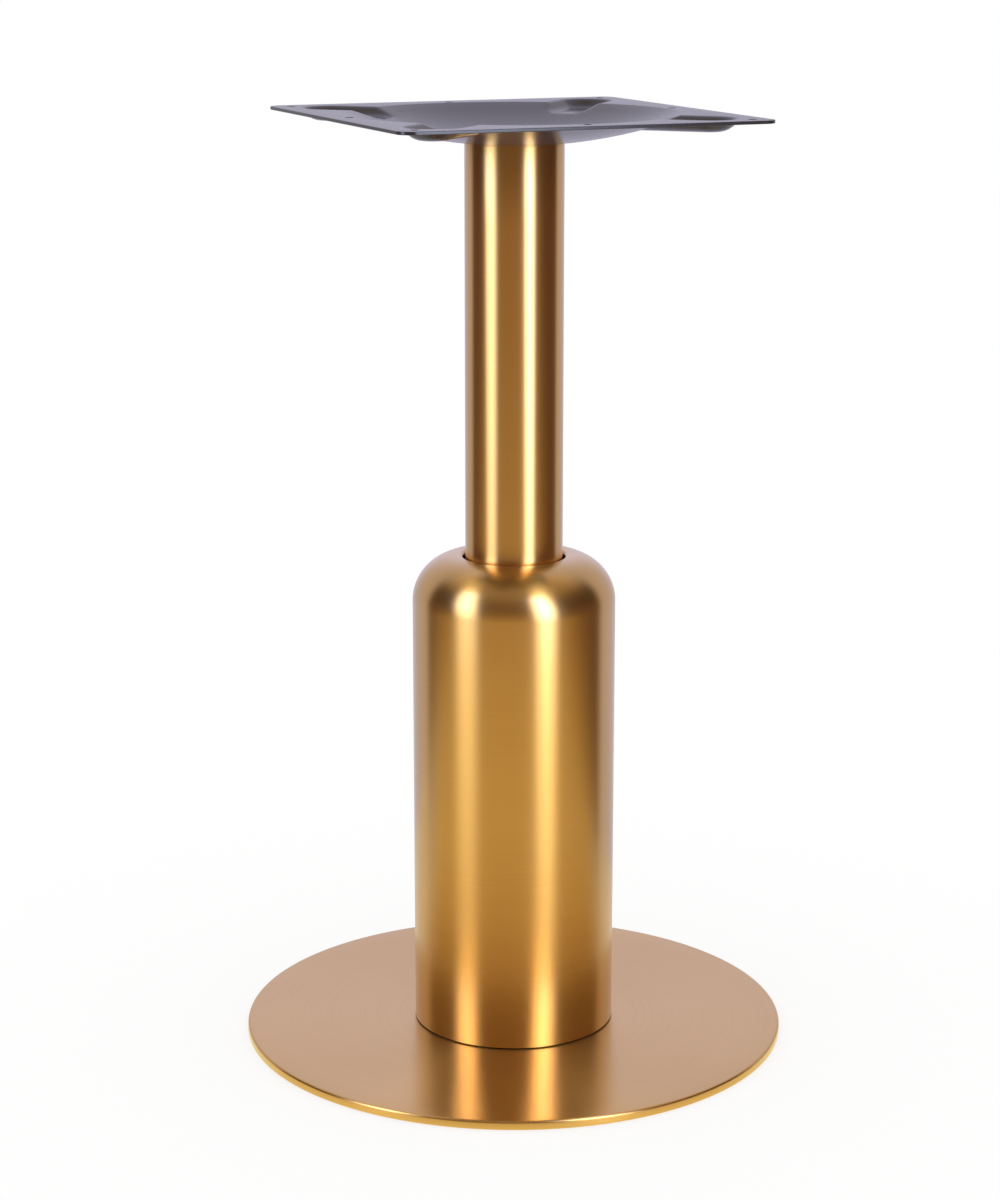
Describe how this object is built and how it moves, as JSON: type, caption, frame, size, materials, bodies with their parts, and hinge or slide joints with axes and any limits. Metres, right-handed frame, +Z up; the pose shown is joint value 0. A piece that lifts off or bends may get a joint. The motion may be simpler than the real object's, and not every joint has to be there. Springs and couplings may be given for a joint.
{
  "type": "table base",
  "caption": "Pedestal table base: round floor disc, bottle-shouldered sleeve and slim column in brushed brass, with a pressed square plate on top to screw to a table top.",
  "frame": {"origin": "on the floor, on the column's axis, under the centre of the disc", "axes": "+Z up along the column, +X and +Y parallel to the sides of the square top plate"},
  "size_m": [0.43, 0.43, 0.73],
  "materials": {
    "brushed_brass": "brass-coloured metal, brushed round its axis, satin clear",
    "black_powder_coat": "semi-gloss black powder coat on pressed steel",
    "plain_steel": "bare turned steel",
    "zinc_steel": "bright zinc plate",
    "rubber_pad": "matt black rubber"
  },
  "bodies": {
    "root": {"base_disc": "brushed_brass", "column_tube": "brushed_brass", "sleeve": "brushed_brass", "top_plate": "black_powder_coat", "base_spigot": "plain_steel", "column_end_plate": "plain_steel", "tie_rod": "zinc_steel", "rod_washer": "zinc_steel", "rod_nut": "zinc_steel", "floor_pad_1": "rubber_pad", "floor_pad_2": "rubber_pad", "floor_pad_3": "rubber_pad", "floor_pad_4": "rubber_pad", "floor_pad_5": "rubber_pad", "floor_pad_6": "rubber_pad"}
  },
  "joints": []
}
